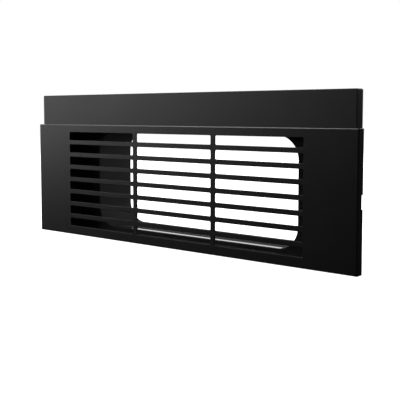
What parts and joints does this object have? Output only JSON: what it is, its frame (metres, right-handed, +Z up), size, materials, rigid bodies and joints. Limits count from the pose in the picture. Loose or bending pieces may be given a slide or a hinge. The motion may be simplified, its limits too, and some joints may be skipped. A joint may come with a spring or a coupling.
{
  "type": "air outlet grille",
  "caption": "Wide low air outlet grille: a slotted front cover on a set-back flange plate, with a shallow air box and a rear collar with round corners for a flat duct.",
  "frame": {"origin": "at the middle of the width and of the depth, level with the bottom edge of the front cover", "axes": "+X along the slots, to the right as seen from the front; +Y from the front face towards the duct; +Z up"},
  "size_m": [0.3462, 0.063, 0.1314],
  "materials": {
    "cover_plastic": "satin black moulded plastic",
    "body_plastic": "satin black moulded plastic"
  },
  "bodies": {
    "root": {"front_grille": "cover_plastic", "flange_plate": "body_plastic", "air_box": "body_plastic", "duct_collar": "body_plastic"}
  },
  "joints": []
}
